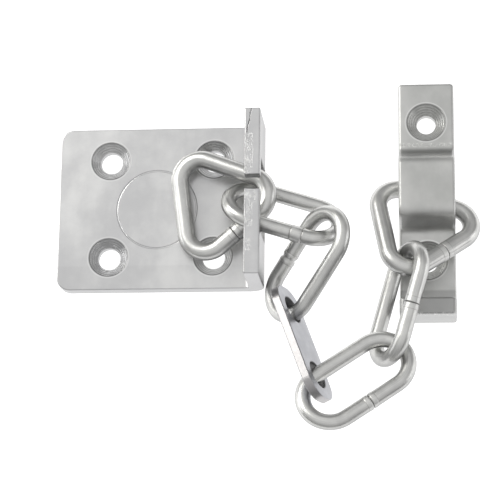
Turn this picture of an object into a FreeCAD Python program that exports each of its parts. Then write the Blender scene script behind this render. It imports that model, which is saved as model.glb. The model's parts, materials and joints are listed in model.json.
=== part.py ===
"""Door chain guard: a slotted door plate, a loose chain of closed links and a frame staple.

Millimetres, +Z up. The origin is the centre of the door plate's four screws, on its flat back.
Both fittings and the chain are laid out on one flat surface, z = 0. +X runs from the door plate
to the frame staple, and Y runs along the staple's length.
"""
import FreeCAD, Part
import math
import os

# Door plate: one piece of sheet, its right edge bent up into a slotted ear.
SHEET = 3.8
PLATE_LENGTH = 51.2            # along X, to the ear's outer face
PLATE_WIDTH = 41.0             # along Y
PLATE_CORNER = 3.3
EAR_HEIGHT = 19.2
EAR_BEND = 0.8                 # inner bend radius
EAR_OUTER_BEND = 3.8
WINDOW_WIDTH = 18.6
WINDOW_TOP = 16.0
WINDOW_SILL = 3.3             # just under the plate's face, so the slot runs into the bend
WINDOW_CORNER = 1.4
NOTCH_WIDTH = 3.5              # lets the flat link out, and no round wire
NOTCH_Y = 2.1
PLATE_SCREW_X = 25.8           # hole spacing
PLATE_SCREW_Y = 24.6
PLATE_HOLE = 5.5
PLATE_SINK = 9.5               # countersink's mouth
PLATE_EDGE = 0.35              # edges eased by tumbling
SLOT_EDGE = 0.3
SINK_EDGE = 0.2
RING_CENTRE = (-1.1, -0.3)     # shallow decorative ring in the plate's face
RING_RADIUS = 9.85
RING_GROOVE = 0.28             # radius of the groove's round section
RING_DEPTH = 0.16

# Frame staple: flat bar with an arch, a foot at each end and an upturned lip.
BAR = 4.2
STAPLE_WIDTH = 13.6
STAPLE_X = 65.15               # centre line
STAPLE_TOP_Y = 30.8
STAPLE_LIP_Y = -29.0
ARCH_FOOT_Y = (-6.84, 13.4)    # where the arch's outer faces meet the feet
ARCH_CROWN_Y = (-3.5, 10.06)   # where they meet the crown
ARCH_HEIGHT = 10.0
ARCH_LOW_WALL = 3.0            # the bar is drawn thinner down the arch's lower side
ARCH_INSIDE_BEND = 2.0
ARCH_OUTSIDE_BEND = 3.2
LIP_HEIGHT = 11.5
LIP_BEND = 1.5
LIP_CORNER = 1.1
FOOT_CORNER = 0.9              # at the free end of the upper foot
STAPLE_EDGE = 0.7              # worn round along the long edges
STAPLE_SCREW_Y = (-14.2, 20.8)
STAPLE_HOLE = 4.7
STAPLE_SINK = 9.4

# Links
OVAL_LENGTH = 31.2
OVAL_WIDTH = 16.8
OVAL_WIRE = 3.75
END_SIDE = 31.0                # sharp side of the triangle that the wire's centre follows
END_HEIGHT = 26.85
END_CORNER = 5.2
END_WIRE = 4.35
FLAT_LENGTH = 30.6
FLAT_WIDTH = 12.0
FLAT_THICKNESS = 2.1
FLAT_CORNER = 5.0
FLAT_EDGE = 0.25
FLAT_HOLE = 6.8
FLAT_HOLE_SPACING = 17.8
CENTROID_SHARE = 0.38          # the triangle's base lies this share of its height below its own origin

# Where each link lies: centre, then yaw, pitch and roll in degrees.
POSES = {
    "door_end_link": ((15.7, 0.2, 8.4), (-82.0, 0.5, 11.5)),
    "chain_link_1": ((30.6, -3.3, 9.4), (-17.0, 2.0, 140.5)),
    "chain_link_2": ((36.4, -16.5, 11.0), (-126.0, 23.5, 35.0)),
    "flat_link": ((35.1, -35.7, 10.4), (-69.5, -10.0, 108.5)),
    "chain_link_3": ((48.0, -44.9, 12.0), (34.5, 8.0, -13.0)),
    "chain_link_4": ((58.2, -26.3, 10.8), (-106.0, 6.0, 59.0)),
    "frame_end_link": ((62.9, -7.5, 7.1), (-21.5, 0.5, 156.5)),
}

UP = FreeCAD.Vector(0, 0, 1)
NEAR = 0.01                    # slack when picking edges by their place
OVERRUN = 1.0                  # how far a cutting tool stands out of what it cuts


def point(x, y, z=0.0):
    return FreeCAD.Vector(x, y, z)


def block(low, high):
    """Box between two corners."""
    size = [b - a for a, b in zip(low, high)]
    return Part.makeBox(*size, point(*low))


def rounded_outline(corners, place):
    """Closed wire through corners (a, b, radius), placed in space by place(a, b)."""
    spots = [place(a, b) for a, b, _ in corners]
    edges = []
    last_end = first_start = None
    for i, (_, _, radius) in enumerate(corners):
        here = spots[i]
        back = (spots[i - 1] - here).normalize()
        ahead = (spots[(i + 1) % len(spots)] - here).normalize()
        start = end = here
        if radius:
            half = back.getAngle(ahead) / 2
            run = radius / math.tan(half)
            start = here + back * run
            end = here + ahead * run
            middle_way = (back + ahead).normalize()
            middle = here + middle_way * (radius / math.sin(half) - radius)
        if last_end is not None and (start - last_end).Length > 1e-6:
            edges.append(Part.makeLine(last_end, start))
        if radius:
            edges.append(Part.Arc(start, middle, end).toShape())
        first_start = first_start or start
        last_end = end
    edges.append(Part.makeLine(last_end, first_start))
    return Part.Wire(edges)


def countersunk_tool(x, y, hole, sink, thickness):
    """Cutter for a hole through z = 0 to thickness, with a 90 degree countersink on top."""
    drill = Part.makeCylinder(hole / 2, thickness + 2 * OVERRUN, point(x, y, -OVERRUN), UP)
    depth = (sink - hole) / 2
    mouth = sink / 2 + OVERRUN
    cone = Part.makeCone(hole / 2, mouth, depth + OVERRUN, point(x, y, thickness - depth), UP)
    return drill.fuse(cone)


def door_plate():
    """Flat plate and ear in one bent sheet, slotted for the end link and notched for the flat link."""
    right = PLATE_LENGTH / 2
    side = PLATE_WIDTH / 2
    ear = right - SHEET
    section = [(-right, 0, 0), (right, 0, EAR_OUTER_BEND), (right, EAR_HEIGHT, 0), (ear, EAR_HEIGHT, 0),
               (ear, SHEET, EAR_BEND), (-right, SHEET, 0)]
    wire = rounded_outline(section, lambda x, z: point(x, -side, z))
    body = Part.Face(wire).extrude(point(0, PLATE_WIDTH, 0))
    corners = [edge for edge in body.Edges
               if edge.BoundBox.XMax < -right + NEAR and edge.BoundBox.ZLength > SHEET - NEAR]
    body = body.makeFillet(PLATE_CORNER, corners)
    body = body.makeFillet(PLATE_EDGE, [edge for edge in body.Edges if on_plate_rim(edge)])
    half = WINDOW_WIDTH / 2
    body = body.cut(block((ear, -half, WINDOW_SILL), (right + OVERRUN, half, SHEET + OVERRUN)))
    window = [(-half, SHEET, 0), (half, SHEET, 0), (half, WINDOW_TOP, WINDOW_CORNER),
              (-half, WINDOW_TOP, WINDOW_CORNER)]
    wire = rounded_outline(window, lambda y, z: point(ear - OVERRUN, y, z))
    body = body.cut(Part.Face(wire).extrude(point(SHEET + 2 * OVERRUN, 0, 0)))
    notch = block((ear - OVERRUN, NOTCH_Y - NOTCH_WIDTH / 2, WINDOW_TOP - OVERRUN),
                  (right + OVERRUN, NOTCH_Y + NOTCH_WIDTH / 2, EAR_HEIGHT + OVERRUN))
    body = body.cut(notch).removeSplitter()
    body = body.makeFillet(SLOT_EDGE, [edge for edge in body.Edges if on_slot_rim(edge)])
    for x in (-PLATE_SCREW_X / 2, PLATE_SCREW_X / 2):
        for y in (-PLATE_SCREW_Y / 2, PLATE_SCREW_Y / 2):
            body = body.cut(countersunk_tool(x, y, PLATE_HOLE, PLATE_SINK, SHEET))
    body = body.makeFillet(SINK_EDGE, sink_rims(body, PLATE_SINK, SHEET))
    groove_height = SHEET + RING_GROOVE - RING_DEPTH
    return body.cut(Part.makeTorus(RING_RADIUS, RING_GROOVE, point(*RING_CENTRE, groove_height), UP))


def on_plate_rim(edge):
    """True on the bent sheet's outer edges: both side outlines, the free end and the ear's top."""
    box = edge.BoundBox
    free_end = box.XMax < PLATE_CORNER - PLATE_LENGTH / 2 + NEAR
    if free_end:
        return box.ZLength < NEAR
    side = PLATE_WIDTH / 2
    on_side = min(abs(box.YMin - side), abs(box.YMax + side)) < NEAR
    return on_side or box.ZMin > EAR_HEIGHT - NEAR


def on_slot_rim(edge):
    """True on the ear's outer face, round the window and the notch."""
    box = edge.BoundBox
    on_face = box.XMin > PLATE_LENGTH / 2 - NEAR
    return on_face and max(abs(box.YMin), abs(box.YMax)) < WINDOW_WIDTH / 2 + NEAR


def sink_rims(body, sink, height):
    """Mouth edges of the countersinks."""
    return [edge for edge in body.Edges
            if abs(edge.BoundBox.ZMin - height) < NEAR and edge.BoundBox.ZLength < NEAR
            and abs(edge.BoundBox.XLength - sink) < 0.05 and abs(edge.BoundBox.YLength - sink) < 0.05]


def arch_outline():
    """Corners (y, z, bend radius) of the staple's section, round the bar from the top end."""
    low_foot, high_foot = ARCH_FOOT_Y
    low_crown, high_crown = ARCH_CROWN_Y
    rise = ARCH_HEIGHT - BAR
    run = low_crown - low_foot
    lean = run / rise
    across = math.hypot(run, rise) / rise
    # Inner line of each sloping side: level distance from the outer foot, at the base and the crown.
    low_base = ARCH_LOW_WALL * across - BAR * lean
    high_base = BAR * across - BAR * lean
    return [
        (STAPLE_TOP_Y, 0, 0), (STAPLE_TOP_Y, BAR, 0),
        (high_foot, BAR, ARCH_INSIDE_BEND), (high_crown, ARCH_HEIGHT, ARCH_OUTSIDE_BEND),
        (low_crown, ARCH_HEIGHT, ARCH_OUTSIDE_BEND), (low_foot, BAR, ARCH_INSIDE_BEND),
        (STAPLE_LIP_Y + BAR, BAR, LIP_BEND), (STAPLE_LIP_Y + BAR, LIP_HEIGHT, 0),
        (STAPLE_LIP_Y, LIP_HEIGHT, 0), (STAPLE_LIP_Y, 0, LIP_BEND),
        (low_foot + low_base, 0, ARCH_INSIDE_BEND), (low_foot + low_base + run, rise, ARCH_INSIDE_BEND),
        (high_foot - high_base - run, rise, ARCH_INSIDE_BEND), (high_foot - high_base, 0, ARCH_INSIDE_BEND),
    ]


def frame_staple():
    """Bar bent into an arch over the end link, with two screw feet and a lip at the lower end."""
    left = STAPLE_X - STAPLE_WIDTH / 2
    wire = rounded_outline(arch_outline(), lambda y, z: point(left, y, z))
    body = Part.Face(wire).extrude(point(STAPLE_WIDTH, 0, 0))
    lip_corners = [edge for edge in body.Edges
                   if edge.BoundBox.ZMin > LIP_HEIGHT - NEAR and edge.BoundBox.YLength > BAR - NEAR]
    body = body.makeFillet(LIP_CORNER, lip_corners)
    foot_corners = [edge for edge in body.Edges
                    if edge.BoundBox.YMin > STAPLE_TOP_Y - NEAR and edge.BoundBox.ZLength > BAR - NEAR]
    body = body.makeFillet(FOOT_CORNER, foot_corners)
    long_edges = [edge for edge in body.Edges if on_long_edge(edge, left)]
    body = body.makeFillet(STAPLE_EDGE, long_edges)
    for y in STAPLE_SCREW_Y:
        body = body.cut(countersunk_tool(STAPLE_X, y, STAPLE_HOLE, STAPLE_SINK, BAR))
    return body.makeFillet(SINK_EDGE, sink_rims(body, STAPLE_SINK, BAR))


def on_long_edge(edge, left):
    """True on the staple's upper outer edges, which run along the bar at either side."""
    box = edge.BoundBox
    at_side = box.XLength < NEAR and (abs(box.XMin - left) < NEAR or abs(box.XMin - left - STAPLE_WIDTH) < NEAR)
    above = box.ZMin > BAR - NEAR and box.YMin > STAPLE_LIP_Y + BAR + LIP_BEND - NEAR
    return at_side and above


def wire_link(path, diameter):
    """Round wire along a closed flat path that starts along X."""
    start = path.Vertexes[0].Point
    tangent = path.Edges[0].tangentAt(path.Edges[0].FirstParameter)
    section = Part.Wire(Part.makeCircle(diameter / 2, start, tangent))
    return path.makePipeShell([section], True, True)


def oval_link():
    half_width = (OVAL_WIDTH - OVAL_WIRE) / 2
    half_length = (OVAL_LENGTH - OVAL_WIRE) / 2
    corners = [(half_length, -half_width, half_width), (half_length, half_width, half_width),
               (-half_length, half_width, half_width), (-half_length, -half_width, half_width)]
    return wire_link(rounded_outline(corners, point), OVAL_WIRE)


def triangular_link():
    base = -CENTROID_SHARE * END_HEIGHT
    corners = [(END_SIDE / 2, base, END_CORNER), (0, base + END_HEIGHT, END_CORNER),
               (-END_SIDE / 2, base, END_CORNER)]
    return wire_link(rounded_outline(corners, point), END_WIRE)


def flat_link():
    """Strip link with a round hole near each end."""
    a, b = FLAT_LENGTH / 2, FLAT_WIDTH / 2
    corners = [(a, -b, FLAT_CORNER), (a, b, FLAT_CORNER), (-a, b, FLAT_CORNER), (-a, -b, FLAT_CORNER)]
    wire = rounded_outline(corners, lambda x, y: point(x, y, -FLAT_THICKNESS / 2))
    body = Part.Face(wire).extrude(point(0, 0, FLAT_THICKNESS))
    for x in (-FLAT_HOLE_SPACING / 2, FLAT_HOLE_SPACING / 2):
        body = body.cut(Part.makeCylinder(FLAT_HOLE / 2, FLAT_THICKNESS + 2 * OVERRUN,
                                          point(x, 0, -FLAT_THICKNESS / 2 - OVERRUN), UP))
    rims = [edge for edge in body.Edges if edge.BoundBox.ZLength < NEAR]
    return body.makeFillet(FLAT_EDGE, rims)


def placed(shape, name):
    centre, angles = POSES[name]
    shape.Placement = FreeCAD.Placement(point(*centre), FreeCAD.Rotation(*angles))
    return shape


def nodes():
    """Every separate piece, by name, where it lies."""
    pieces = {"door_plate": door_plate(), "frame_staple": frame_staple()}
    for name in POSES:
        if name == "flat_link":
            shape = flat_link()
        elif name.endswith("end_link"):
            shape = triangular_link()
        else:
            shape = oval_link()
        pieces[name] = placed(shape, name)
    return pieces


os.makedirs("parts", exist_ok=True)
for name, shape in nodes().items():
    shape.exportStep(f"parts/{name}.step")
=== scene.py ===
"""Looks of the door chain guard: satin chrome plate, staple and chain on a pale studio floor.

Everything is in metres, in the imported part's own frame. The wire links are rebuilt as swept
meshes with weld seams, from the size and lie of the CAD links. The plate, the staple and the
flat link keep their CAD shape and get a finish.
"""
import json
import math

import bmesh
import bpy
import numpy as np
from mathutils import Matrix, Vector


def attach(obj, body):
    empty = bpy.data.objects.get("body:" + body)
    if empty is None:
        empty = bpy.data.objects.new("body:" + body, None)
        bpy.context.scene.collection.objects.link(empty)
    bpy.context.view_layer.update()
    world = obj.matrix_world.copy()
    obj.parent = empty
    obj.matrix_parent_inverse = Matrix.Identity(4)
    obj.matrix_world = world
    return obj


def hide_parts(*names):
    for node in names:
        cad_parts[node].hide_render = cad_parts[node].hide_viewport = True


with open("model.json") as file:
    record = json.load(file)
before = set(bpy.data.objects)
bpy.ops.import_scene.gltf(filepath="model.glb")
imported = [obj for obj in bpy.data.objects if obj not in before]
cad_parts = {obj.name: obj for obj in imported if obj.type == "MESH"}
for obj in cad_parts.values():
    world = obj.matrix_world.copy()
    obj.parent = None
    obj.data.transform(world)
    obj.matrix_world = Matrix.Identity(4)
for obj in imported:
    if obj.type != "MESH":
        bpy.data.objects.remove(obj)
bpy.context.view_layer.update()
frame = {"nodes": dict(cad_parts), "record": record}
NODES = frame["nodes"]
MOUNTS = {mount["name"]: mount for mount in frame["record"]["mounts"]}
MM = 0.001

# ------------------------------------------------------------------ wire links

# Each weld: its bearing in plan from the link's middle (degrees from +X, towards +Y); then in mm the
# depth and half width of the seam, the depth of the lines beside the upset metal and its rise; last,
# whether the seam is an open dark line.
WELDS = {
    "door_end_link": (-61, 0.18, 0.12, 0.00, 0.03, True),
    "chain_link_1": (-62, 0.00, 0.12, 0.14, 0.08, False),
    "chain_link_2": (149, 0.36, 0.45, 0.05, 0.10, False),
    "chain_link_3": (-57, 0.24, 0.20, 0.03, 0.05, True),
    "chain_link_4": (-19, 0.22, 0.12, 0.00, 0.03, True),
    "frame_end_link": (-50, 0.10, 0.10, 0.00, 0.02, True),
}
RINGS = 300                    # sections along a link
AROUND = 64                    # points round the wire
COLLAR_HALF = 1.45 * MM        # half width of the upset metal beside the seam
COLLAR_LINE = 0.12 * MM        # half width of the fine line where that metal ends
SEAM_STEP = 0.05 * MM          # finer sections near the seam
WAVER = 0.035 * MM             # how far a drawn wire strays from round


def surface_moments(node):
    """Centroid and principal axes of a node's surface, longest first, weighted by area."""
    mesh = NODES[node].data
    mesh.calc_loop_triangles()
    corners = np.array([v.co for v in mesh.vertices])
    faces = np.array([t.vertices for t in mesh.loop_triangles])
    a, b, c = (corners[faces[:, k]] for k in range(3))
    area = np.linalg.norm(np.cross(b - a, c - a), axis=1) / 2
    middle = (a + b + c) / 3
    centre = (middle * area[:, None]).sum(0) / area.sum()
    away = middle - centre
    spread = (away * area[:, None]).T @ away
    _, axes = np.linalg.eigh(spread)
    return centre, axes[:, ::-1].T, corners - centre, away, area


def oval_path(node):
    """Centre line of an oval link as (point at length s) and its total length, with the wire radius."""
    centre, axes, corners, _, _ = surface_moments(node)
    size = np.ptp(corners @ axes.T, axis=0)
    wire = size[2] / 2
    bend = size[1] / 2 - wire
    straight = size[0] - 2 * (bend + wire)
    long_axis, wide_axis, normal = axes
    return rounded_loop(centre, long_axis, wide_axis, [(straight / 2, 0), (-straight / 2, 0)], bend), normal, wire


def triangle_path(node):
    """The same for a triangular link, whose three corners are found from its surface."""
    centre, axes, corners, away, area = surface_moments(node)
    first, second, normal = axes
    plane = (away @ first) + 1j * (away @ second)
    turn = np.angle((plane ** 3 * area).sum()) / 3
    reach_axis = math.cos(turn) * first + math.sin(turn) * second
    side_axis = np.cross(normal, reach_axis)
    wire = np.ptp(corners @ normal) / 2
    apex = (corners @ reach_axis).max() - wire
    side = -(corners @ reach_axis).min() - wire
    bend = 2 * side - apex
    arm = apex - bend
    hubs = [(arm * math.cos(k * math.tau / 3), arm * math.sin(k * math.tau / 3)) for k in range(3)]
    return rounded_loop(centre, reach_axis, side_axis, hubs, bend), normal, wire


def rounded_loop(centre, u, v, hubs, bend):
    """Straight runs tangent to equal arcs round each hub, as a list of pieces (kind, data, length)."""
    hubs = [np.array(h) for h in hubs]
    count = len(hubs)
    pieces = []
    for i, hub in enumerate(hubs):
        ahead = hubs[(i + 1) % count] - hub
        behind = hub - hubs[i - 1]
        start = math.atan2(behind[1], behind[0]) - math.pi / 2
        end = math.atan2(ahead[1], ahead[0]) - math.pi / 2
        sweep = (end - start) % math.tau
        pieces.append(("arc", (hub, start, sweep), bend * sweep))
        offset = bend * np.array([math.cos(end), math.sin(end)])
        pieces.append(("run", (hub + offset, ahead), np.linalg.norm(ahead)))
    total = sum(length for _, _, length in pieces)

    def at(s):
        """Point, tangent and outward direction at length s round the loop."""
        s = s % total
        for kind, data, length in pieces:
            if s > length:
                s -= length
                continue
            if kind == "arc":
                hub, start, _ = data
                angle = start + s / bend
                out = np.array([math.cos(angle), math.sin(angle)])
                spot = hub + bend * out
            else:
                spot, ahead = data
                heading = ahead / np.linalg.norm(ahead)
                spot = spot + heading * s
                out = np.array([heading[1], -heading[0]])
            return centre + spot[0] * u + spot[1] * v, out[0] * u + out[1] * v
        return at(0)

    return at, total


def stations(total, seam):
    """Lengths round the loop, evenly spaced but close together at the seam."""
    even = np.arange(RINGS) / RINGS * total
    fine = seam + np.arange(-2 * COLLAR_HALF, 2 * COLLAR_HALF, SEAM_STEP)
    away = np.abs((even - seam + total / 2) % total - total / 2)
    return np.sort(np.concatenate([even[away > 2 * COLLAR_HALF], fine]) % total)


def seam_length(at, total, bearing):
    """Length round the loop of the point that lies at a bearing in plan from the loop's middle."""
    lengths = np.arange(4 * RINGS) / (4 * RINGS) * total
    points = np.array([at(s)[0] for s in lengths])
    away = points - points.mean(0)
    wanted = math.radians(bearing)
    cosine = (away[:, 0] * math.cos(wanted) + away[:, 1] * math.sin(wanted)) / np.hypot(away[:, 0], away[:, 1])
    return lengths[int(np.argmax(cosine))]


def wire_link(node, path):
    """Swept round wire with a weld seam, standing for a CAD link."""
    (at, total), normal, wire = path
    bearing, cut, half, line, rise, is_open = WELDS[node]
    seam = seam_length(at, total, bearing)
    spots, along, turned = [], [], []
    angles = np.arange(AROUND) / AROUND * math.tau
    rows = stations(total, seam)
    for s in rows:
        point, out = at(s)
        gap = abs((s - seam + total / 2) % total - total / 2)
        radius = wire - WAVER * (0.5 + 0.5 * math.sin(3 * math.tau * s / total + bearing))
        radius += MM * rise * math.exp(-(gap / COLLAR_HALF) ** 6)
        radius -= MM * cut * math.exp(-(gap / (MM * half)) ** 2)
        radius -= MM * line * math.exp(-((gap - COLLAR_HALF) / COLLAR_LINE) ** 2)
        for angle in angles:
            spots.append(point + radius * (math.cos(angle) * out + math.sin(angle) * normal))
            along.append(s)
            turned.append(angle)
    count = len(rows)
    faces = []
    for i in range(count):
        j = (i + 1) % count
        for k in range(AROUND):
            m = (k + 1) % AROUND
            faces.append((i * AROUND + k, j * AROUND + k, j * AROUND + m, i * AROUND + m))
    mesh = bpy.data.meshes.new(node + "_wire")
    mesh.from_pydata([tuple(p) for p in spots], [], faces)
    seam_gap = [abs((s - seam + total / 2) % total - total / 2) for s in along]
    if not is_open:
        seam_gap = [max(gap, 0.3 * MM) for gap in seam_gap]
    for name, values in (("along", along), ("seam_gap", seam_gap),
                         ("around_x", np.cos(turned)), ("around_y", np.sin(turned))):
        mesh.attributes.new(name, "FLOAT", "POINT").data.foreach_set("value", np.array(values, np.float32))
    mesh.shade_smooth()
    tidy = bmesh.new()
    tidy.from_mesh(mesh)
    bmesh.ops.recalc_face_normals(tidy, faces=tidy.faces)
    tidy.to_mesh(mesh)
    tidy.free()
    piece = bpy.data.objects.new(node + "_wire", mesh)
    bpy.context.scene.collection.objects.link(piece)
    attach(piece, node)
    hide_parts(node)
    return piece


# ------------------------------------------------------------------ materials

class Nodes:
    """Short hand for building one material's node tree."""

    def __init__(self, name):
        self.material = bpy.data.materials.new(name)
        self.material.use_nodes = True
        self.tree = self.material.node_tree
        self.shader = self.tree.nodes["Principled BSDF"]

    def add(self, kind, inputs=None, **settings):
        node = self.tree.nodes.new(kind)
        for key, value in settings.items():
            setattr(node, key, value)
        for key, value in (inputs or {}).items():
            self.feed(node.inputs[key], value)
        return node

    def feed(self, socket, value):
        if isinstance(value, bpy.types.NodeSocket):
            self.tree.links.new(value, socket)
        elif isinstance(value, bpy.types.Node):
            self.tree.links.new(value.outputs[0], socket)
        else:
            socket.default_value = value

    def set(self, **inputs):
        for key, value in inputs.items():
            self.feed(self.shader.inputs[key.replace("_", " ").title().replace("Ior", "IOR")], value)

    def place(self):
        return self.add("ShaderNodeTexCoord").outputs["Object"]

    def noise(self, vector, scale, detail=3.0, roughness=0.5, stretch=(1, 1, 1)):
        mapped = self.add("ShaderNodeMapping", {"Vector": vector, "Scale": stretch})
        return self.add("ShaderNodeTexNoise", {"Vector": mapped, "Scale": scale, "Detail": detail,
                                               "Roughness": roughness}).outputs["Fac"]

    def remap(self, value, low, high, to_low, to_high):
        return self.add("ShaderNodeMapRange", {"Value": value, "From Min": low, "From Max": high,
                                               "To Min": to_low, "To Max": to_high},
                        interpolation_type="SMOOTHSTEP").outputs["Result"]

    def math(self, operation, a, b=0.0, c=0.0):
        node = self.add("ShaderNodeMath", operation=operation)
        for socket, value in zip(node.inputs, (a, b, c)):
            self.feed(socket, value)
        return node.outputs[0]

    def mix(self, factor, a, b):
        node = self.add("ShaderNodeMix", data_type="RGBA")
        self.feed(node.inputs[0], factor)
        self.feed(node.inputs[6], a)
        self.feed(node.inputs[7], b)
        return node.outputs[2]

    def bump(self, height, strength, distance, normal=None):
        inputs = {"Height": height, "Strength": strength, "Distance": distance}
        if normal is not None:
            inputs["Normal"] = normal
        return self.add("ShaderNodeBump", inputs).outputs["Normal"]


def attribute(nodes, name):
    return nodes.add("ShaderNodeAttribute", attribute_name=name).outputs["Fac"]


def wire_material(name, light, dark, roughness):
    """Plated wire: drawing lines that run along it, soft blotches, a dark mark at the weld, and painted shade where
    the wire turns sideways.
    """
    nodes = Nodes(name)
    lines = nodes.add("ShaderNodeCombineXYZ", {
        0: nodes.math("MULTIPLY", attribute(nodes, "around_x"), 6.0),
        1: nodes.math("MULTIPLY", attribute(nodes, "around_y"), 6.0),
        2: nodes.math("MULTIPLY", attribute(nodes, "along"), 25.0)})
    drawn = nodes.noise(lines.outputs[0], 1.6, 5.0, 0.6)
    blotch = nodes.noise(nodes.place(), 320.0, 4.0, 0.6)
    pits = nodes.noise(nodes.place(), 2600.0, 2.0, 0.5)
    tone = nodes.remap(nodes.math("MULTIPLY_ADD", drawn, 0.55, nodes.math("MULTIPLY", blotch, 0.45)),
                       0.3, 0.7, 0.0, 1.0)
    colour = nodes.mix(tone, dark, light)
    # Painted shade: the colour darkens towards dark grey where the object-space normal lies near level. This stands in
    # for shade on the wire's sideways-facing surface.
    facing = nodes.add("ShaderNodeSeparateXYZ", {0: nodes.add("ShaderNodeTexCoord").outputs["Normal"]})
    painted_flank_shade = nodes.remap(nodes.math("ABSOLUTE", facing.outputs[2]), 0.1, 0.8, 0.75, 0.0)
    colour = nodes.mix(painted_flank_shade, colour, (0.24, 0.24, 0.245, 1))
    gap = attribute(nodes, "seam_gap")
    weld = nodes.remap(gap, 0.05 * MM, 0.18 * MM, 1.0, 0.0)
    edge = nodes.remap(nodes.math("ABSOLUTE", nodes.math("SUBTRACT", gap, COLLAR_HALF)),
                       0.03 * MM, 0.16 * MM, 1.0, 0.0)
    collar = nodes.remap(gap, COLLAR_HALF - 0.1 * MM, COLLAR_HALF + 0.1 * MM, 1.0, 0.0)
    colour = nodes.mix(nodes.math("MULTIPLY", collar, nodes.remap(blotch, 0.35, 0.6, 0.05, 0.3)), colour,
                       (0.88, 0.88, 0.87, 1))
    colour = nodes.mix(nodes.math("MULTIPLY", edge, 0.35), colour, (0.30, 0.29, 0.28, 1))
    colour = nodes.mix(nodes.math("MULTIPLY", weld, 0.8), colour, (0.13, 0.125, 0.12, 1))
    rough = nodes.math("ADD", nodes.remap(drawn, 0.3, 0.7, roughness - 0.05, roughness + 0.06),
                       nodes.math("MULTIPLY", collar, nodes.remap(blotch, 0.4, 0.6, 0.0, 0.14)))
    height = nodes.math("ADD", nodes.math("MULTIPLY", drawn, 0.7), nodes.math("MULTIPLY", pits, 0.12))
    height = nodes.math("ADD", height, nodes.math("MULTIPLY", collar, nodes.noise(nodes.place(), 1200.0, 3.0)))
    nodes.set(base_color=colour, metallic=1.0, roughness=rough,
              normal=nodes.bump(height, 0.3, 0.05 * MM))
    return nodes.material


def radial(nodes, place, centre):
    """Distance from a vertical axis through centre."""
    flat = nodes.add("ShaderNodeVectorMath", {0: place, 1: (centre[0], centre[1], 0)}, operation="SUBTRACT")
    level = nodes.add("ShaderNodeVectorMath", {0: flat, 1: (1, 1, 0)}, operation="MULTIPLY")
    return nodes.add("ShaderNodeVectorMath", {0: level}, operation="LENGTH").outputs["Value"]


def screw_centres(name):
    """Hole centres of a bolt pattern mount, in metres."""
    mount = MOUNTS[name]
    dims = mount["dims"]
    x0, y0, _ = mount["pos_m"]
    half_x = dims.get("spacing_x_mm", 0) * MM / 2
    half_y = dims.get("spacing_y_mm", 0) * MM / 2
    return sorted({(x0 + i * half_x, y0 + j * half_y) for i in (-1, 1) for j in (-1, 1)})


def zone(nodes, place, low, high, soft=0.12):
    """Mask that is 1 inside a box given in mm, None leaving a side open."""
    split = nodes.add("ShaderNodeSeparateXYZ", {0: place})
    mask = None
    for axis in range(3):
        for edge, side in ((low[axis], 1), (high[axis], -1)):
            if edge is None:
                continue
            start, end = (edge - side * soft) * MM, (edge + side * soft) * MM
            part = nodes.remap(split.outputs[axis], min(start, end), max(start, end),
                               0.0 if side > 0 else 1.0, 1.0 if side > 0 else 0.0)
            mask = part if mask is None else nodes.math("MULTIPLY", mask, part)
    return mask


def scuffs(nodes, place, zones):
    """Bright specks of torn metal inside the zones."""
    mask = None
    for low, high in zones:
        part = zone(nodes, place, low, high, 0.3)
        mask = part if mask is None else nodes.math("MAXIMUM", mask, part)
    specks = nodes.remap(nodes.noise(place, 1700.0, 5.0, 0.75, (1, 0.6, 1)), 0.48, 0.6, 0.0, 1.0)
    return nodes.math("MULTIPLY", mask, specks)


def crack(nodes, place, start, end):
    """Thin wandering tear between two plan points (mm)."""
    split = nodes.add("ShaderNodeSeparateXYZ", {0: place})
    slope = (end[0] - start[0]) / (end[1] - start[1])
    line = nodes.math("MULTIPLY_ADD", nodes.math("SUBTRACT", split.outputs[1], start[1] * MM), slope,
                      start[0] * MM)
    wander = nodes.math("MULTIPLY", nodes.math("SUBTRACT", nodes.noise(place, 700.0, 3.0, 0.6), 0.5), 1.1 * MM)
    away = nodes.math("ABSOLUTE", nodes.math("SUBTRACT", split.outputs[0], nodes.math("ADD", line, wander)))
    near = nodes.remap(away, 0.05 * MM, 0.17 * MM, 1.0, 0.0)
    span = zone(nodes, place, (None, min(start[1], end[1]), 19.0), (None, max(start[1], end[1]), None))
    return nodes.math("MULTIPLY", near, span)


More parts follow.
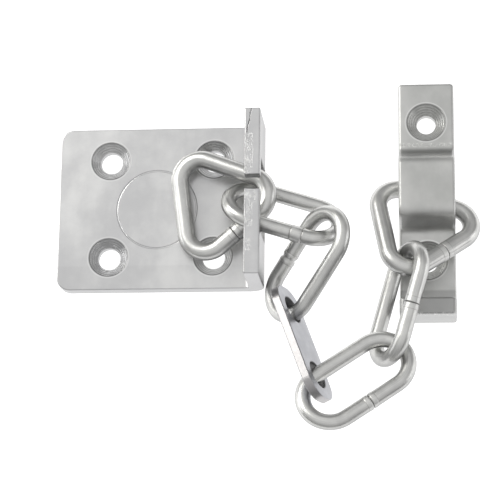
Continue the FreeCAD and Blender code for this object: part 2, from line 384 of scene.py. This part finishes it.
def sheet_material(name, light, dark, roughness, grain, screws=(), sink=0, painted_shade_zones=(), torn=(), tear=None,
                   shaded=0.5):
    """Plated flat stock.

    Soft streaks and orange peel all over, turning rings in the countersinks, painted shade on steep faces,
    zones of painted shade given as (low, high, strength), a painted dark ring and a painted highlight round each
    countersink rim, torn zones with bright specks, and one tear.
    """
    nodes = Nodes(name)
    place = nodes.place()
    streak = nodes.noise(place, 60.0, 5.0, 0.6, grain)
    cloud = nodes.noise(place, 110.0, 4.0, 0.6)
    fine = nodes.noise(place, 900.0, 3.0, 0.6)
    tone = nodes.math("MULTIPLY_ADD", streak, 0.5, nodes.math("MULTIPLY", cloud, 0.5))
    colour = nodes.mix(nodes.remap(tone, 0.36, 0.64, 0.0, 1.0), dark, light)
    rough = nodes.remap(streak, 0.3, 0.7, roughness - 0.04, roughness + 0.06)
    height = nodes.math("MULTIPLY_ADD", fine, 0.5, nodes.math("MULTIPLY", streak, 0.7))
    normal = nodes.bump(height, 0.18, 0.05 * MM)
    # Painted shade: faces whose object-space normal is far from vertical are darkened towards grey by shaded. This
    # stands in for shade on steep faces.
    facing = nodes.add("ShaderNodeSeparateXYZ", {0: nodes.add("ShaderNodeTexCoord").outputs["Normal"]})
    level = nodes.math("ABSOLUTE", facing.outputs[2])
    painted_side_shade = nodes.remap(level, 0.3, 0.8, shaded, 0.0)
    colour = nodes.mix(painted_side_shade, colour, (0.34, 0.34, 0.35, 1))
    # Painted shade: each zone darkens the colour towards grey by its strength. This stands in for shade on those
    # parts.
    for low, high, strength in painted_shade_zones:
        part = nodes.math("MULTIPLY", zone(nodes, place, low, high, 0.35), strength)
        colour = nodes.mix(part, colour, (0.30, 0.30, 0.30, 1))
    if torn:
        specks = scuffs(nodes, place, torn)
        colour = nodes.mix(nodes.math("MULTIPLY", specks, 0.6), colour, (0.95, 0.95, 0.94, 1))
        rough = nodes.math("MULTIPLY_ADD", specks, 0.12, rough)
        normal = nodes.bump(specks, 0.55, 0.10 * MM, normal)
    if tear:
        gap = crack(nodes, place, *tear)
        colour = nodes.mix(nodes.math("MULTIPLY", gap, 0.9), colour, (0.10, 0.10, 0.10, 1))
        normal = nodes.bump(nodes.math("SUBTRACT", 1.0, gap), 0.6, 0.12 * MM, normal)
    if screws:
        nearest = None
        for centre in screws:
            away = radial(nodes, place, centre)
            nearest = away if nearest is None else nodes.math("MINIMUM", nearest, away)
        inside = nodes.remap(nearest, sink - 0.2 * MM, sink, 1.0, 0.0)
        rings = nodes.math("SINE", nodes.math("MULTIPLY", nearest, math.tau / (0.5 * MM)))
        wobble = nodes.remap(nodes.noise(place, 420.0, 3.0), 0.3, 0.7, 0.1, 1.0)
        rings = nodes.math("MULTIPLY", nodes.math("MULTIPLY", rings, inside), wobble)
        colour = nodes.mix(nodes.math("MULTIPLY", nodes.remap(rings, 0.0, 0.6, 0.0, 0.45), inside), colour,
                           (0.30, 0.30, 0.29, 1))
        # Painted shade and painted highlight round each countersink: a dark ring at its rim and a near-white ring just
        # outside it, where the rounded rim would catch shade and light.
        painted_rim_shade = nodes.remap(nodes.math("ABSOLUTE", nodes.math("SUBTRACT", nearest, sink)),
                          0.04 * MM, 0.2 * MM, 0.7, 0.0)
        colour = nodes.mix(painted_rim_shade, colour, (0.16, 0.16, 0.16, 1))
        painted_rim_highlight = nodes.remap(nodes.math("ABSOLUTE", nodes.math("SUBTRACT", nearest, sink + 0.38 * MM)),
                           0.02 * MM, 0.2 * MM, 0.6, 0.0)
        colour = nodes.mix(painted_rim_highlight, colour, (0.96, 0.96, 0.95, 1))
        normal = nodes.bump(rings, 0.6, 0.07 * MM, normal)
    nodes.set(base_color=colour, metallic=1.0, roughness=rough, normal=normal)
    return nodes.material


def floor_material():
    """Bright white paper, lit from behind so that it hardly takes a shadow."""
    nodes = Nodes("studio_paper")
    nodes.set(base_color=(0.55, 0.55, 0.55, 1), roughness=0.95, specular_ior_level=0.0,
              emission_color=(1, 1, 1, 1), emission_strength=0.80)
    return nodes.material


def dress(node, material):
    """Give a CAD node a finish."""
    piece = NODES[node]
    piece.data.materials.clear()
    piece.data.materials.append(material)
    return piece


# ------------------------------------------------------------------ studio

AIM = Vector((21.66, -9.94, 0)) * MM
DISTANCE = 491.5 * MM
LENS = 144.0
LEAN_EAST, LEAN_SOUTH, TWIST = 0.093, 0.25, 0.010


def camera():
    """Nearly overhead, from a little in front and to the right."""
    turn = (Matrix.Rotation(LEAN_EAST, 4, "Y") @ Matrix.Rotation(LEAN_SOUTH, 4, "X")
            @ Matrix.Rotation(TWIST, 4, "Z"))
    data = bpy.data.cameras.new("camera")
    data.lens = LENS
    data.sensor_width = 36.0
    data.clip_start = 0.01
    data.clip_end = 10.0
    view = bpy.data.objects.new("camera", data)
    bpy.context.scene.collection.objects.link(view)
    view.matrix_world = Matrix.Translation(AIM) @ turn @ Matrix.Translation((0, 0, DISTANCE))
    bpy.context.scene.camera = view


FLOOR_DROP = 120 * MM          # low enough for the chain to swing down clear of it


def floor():
    mesh = bpy.data.meshes.new("floor")
    reach = 3.0
    mesh.from_pydata([(-reach, -reach, 0), (reach, -reach, 0), (reach, reach, 0), (-reach, reach, 0)],
                     [], [(0, 1, 2, 3)])
    mesh.materials.append(floor_material())
    ground = bpy.data.objects.new("floor", mesh)
    ground.location.z = -FLOOR_DROP
    bpy.context.scene.collection.objects.link(ground)


def softbox(name, place, aim, size, power, tint=(1, 1, 1)):
    data = bpy.data.lights.new(name, "AREA")
    data.shape = "RECTANGLE"
    data.size, data.size_y = size
    data.energy = power
    data.color = tint
    lamp = bpy.data.objects.new(name, data)
    lamp.location = place
    lamp.rotation_euler = (Vector(place) - Vector(aim)).to_track_quat("Z", "Y").to_euler()
    bpy.context.scene.collection.objects.link(lamp)


def sky():
    """Pale room light, brighter overhead than at the horizon."""
    world = bpy.data.worlds.new("studio")
    world.use_nodes = True
    tree = world.node_tree
    place = tree.nodes.new("ShaderNodeTexCoord")
    split = tree.nodes.new("ShaderNodeSeparateXYZ")
    ramp = tree.nodes.new("ShaderNodeValToRGB")
    tree.links.new(place.outputs["Generated"], split.inputs[0])
    tree.links.new(split.outputs["Z"], ramp.inputs[0])
    stops = ramp.color_ramp.elements
    stops[0].position, stops[0].color = 0.0, (0.20, 0.20, 0.20, 1)
    stops[1].position, stops[1].color = 1.0, (0.74, 0.74, 0.74, 1)
    for height, grey in ((0.35, 0.30), (0.6, 0.48), (0.85, 0.68)):
        stop = stops.new(height)
        stop.color = (grey, grey, grey, 1)
    tree.links.new(ramp.outputs[0], tree.nodes["Background"].inputs["Color"])
    tree.nodes["Background"].inputs["Strength"].default_value = 1.0
    bpy.context.scene.world = world


MIDDLE = (0.02, -0.01, 0)


def studio():
    sky()
    floor()
    softbox("key", (-0.55, 0.40, 0.55), MIDDLE, (0.45, 0.45), 2.6, (1.0, 0.99, 0.95))
    softbox("east", (0.75, 0.0, 0.16), MIDDLE, (0.5, 0.22), 0.5)
    softbox("west", (-0.75, 0.1, 0.16), MIDDLE, (0.5, 0.22), 0.7)
    bpy.context.scene.view_settings.view_transform = "Standard"
    camera()


# ------------------------------------------------------------------ making

HOLE_REACH = 8.9 * MM          # from the flat link's middle to each hole
HOLE_RADIUS = 3.4 * MM
WIRE_LIGHT = (0.84, 0.84, 0.815, 1)
WIRE_DARK = (0.64, 0.64, 0.63, 1)


def chain():
    finish = wire_material("plated_wire", WIRE_LIGHT, WIRE_DARK, 0.33)
    for node in WELDS:
        path = triangle_path(node) if node.endswith("end_link") else oval_path(node)
        wire_link(node, path).data.materials.append(finish)
    dress("flat_link", strip_material())


def strip_material():
    """Blanked strip: bluish satin faces, bright cut edges and painted shade in and round the holes."""
    centre, (long_axis, wide_axis, normal), _, _, _ = surface_moments("flat_link")
    nodes = Nodes("plated_strip")
    place = nodes.place()

    def along(axis, vector):
        return nodes.add("ShaderNodeVectorMath", {0: vector, 1: tuple(axis)}, operation="DOT_PRODUCT").outputs["Value"]

    face = nodes.remap(nodes.math("ABSOLUTE", along(normal, nodes.add("ShaderNodeTexCoord").outputs["Normal"])),
                       0.5, 0.9, 0.0, 1.0)
    middle = nodes.add("ShaderNodeVectorMath", {0: place, 1: tuple(centre)}, operation="SUBTRACT")
    reach = nodes.math("SUBTRACT", nodes.math("ABSOLUTE", along(long_axis, middle)), HOLE_REACH)
    across = along(wide_axis, middle)
    away = nodes.math("SQRT", nodes.math("ADD", nodes.math("MULTIPLY", reach, reach),
                                         nodes.math("MULTIPLY", across, across)))
    # Painted shade: the colour darkens towards near black inside each hole and at its rim.
    hole = nodes.remap(away, HOLE_RADIUS + 0.1 * MM, HOLE_RADIUS + 0.35 * MM, 1.0, 0.0)
    cloud = nodes.noise(place, 200.0, 4.0, 0.6)
    plain = nodes.mix(nodes.remap(cloud, 0.35, 0.65, 0.0, 1.0), (0.37, 0.375, 0.40, 1), (0.45, 0.455, 0.48, 1))
    cut = nodes.mix(nodes.noise(place, 1300.0, 3.0, 0.6), (0.40, 0.39, 0.395, 1), (0.56, 0.55, 0.555, 1))
    colour = nodes.mix(nodes.math("MULTIPLY", hole, 0.85), nodes.mix(face, cut, plain), (0.12, 0.12, 0.125, 1))
    nodes.set(base_color=colour, metallic=1.0, roughness=0.36,
              normal=nodes.bump(nodes.noise(place, 1000.0, 3.0), 0.2, 0.05 * MM))
    return nodes.material


def fittings():
    plate_sink, staple_sink = 4.75 * MM, 4.7 * MM
    plate = sheet_material(
        "plated_sheet", (0.86, 0.86, 0.855, 1), (0.70, 0.70, 0.705, 1), 0.31, (1, 0.3, 1),
        screws=screw_centres("door_plate_screws"), sink=plate_sink, shaded=0.75,
        torn=[((21.9, -9.0, 18.9), (23.9, 14.0, None)), ((22.4, -15.0, 18.9), (23.4, -12.0, None)),
              ((22.0, -3.0, 18.9), (24.8, 0.8, None))],
        tear=((23.6, 20.9), (22.45, 14.2)),
        # zones of painted shade on the plate and its ear
        painted_shade_zones=[((None, None, 18.5), (22.1, None, None), 0.7), ((25.3, None, 4.0), (None, None, None), 0.3),
              ((7.5, -9.5, 3.5), (21.5, 9.5, 4.2), 0.18), ((None, None, 3.5), (21.0, -14.5, 4.2), 0.08)])
    dress("door_plate", plate)
    staple = sheet_material(
        "plated_bar", (0.72, 0.72, 0.705, 1), (0.58, 0.585, 0.57, 1), 0.42, (1, 0.3, 1),
        screws=screw_centres("frame_staple_screws"), sink=staple_sink, shaded=0.45,
        # zones of painted shade on the staple
        painted_shade_zones=[((None, None, 11.2), (None, -24.5, None), 0.6), ((None, 11.0, 4.5), (None, 15.2, 9.4), 0.35),
              ((None, -25.2, 4.0), (None, -21.6, 6.5), 0.5)],
        torn=[((None, None, 9.5), (None, -28.6, None)), ((None, 14.6, 4.0), (None, 15.4, 6.5))])
    dress("frame_staple", staple)


studio()
chain()
fittings()
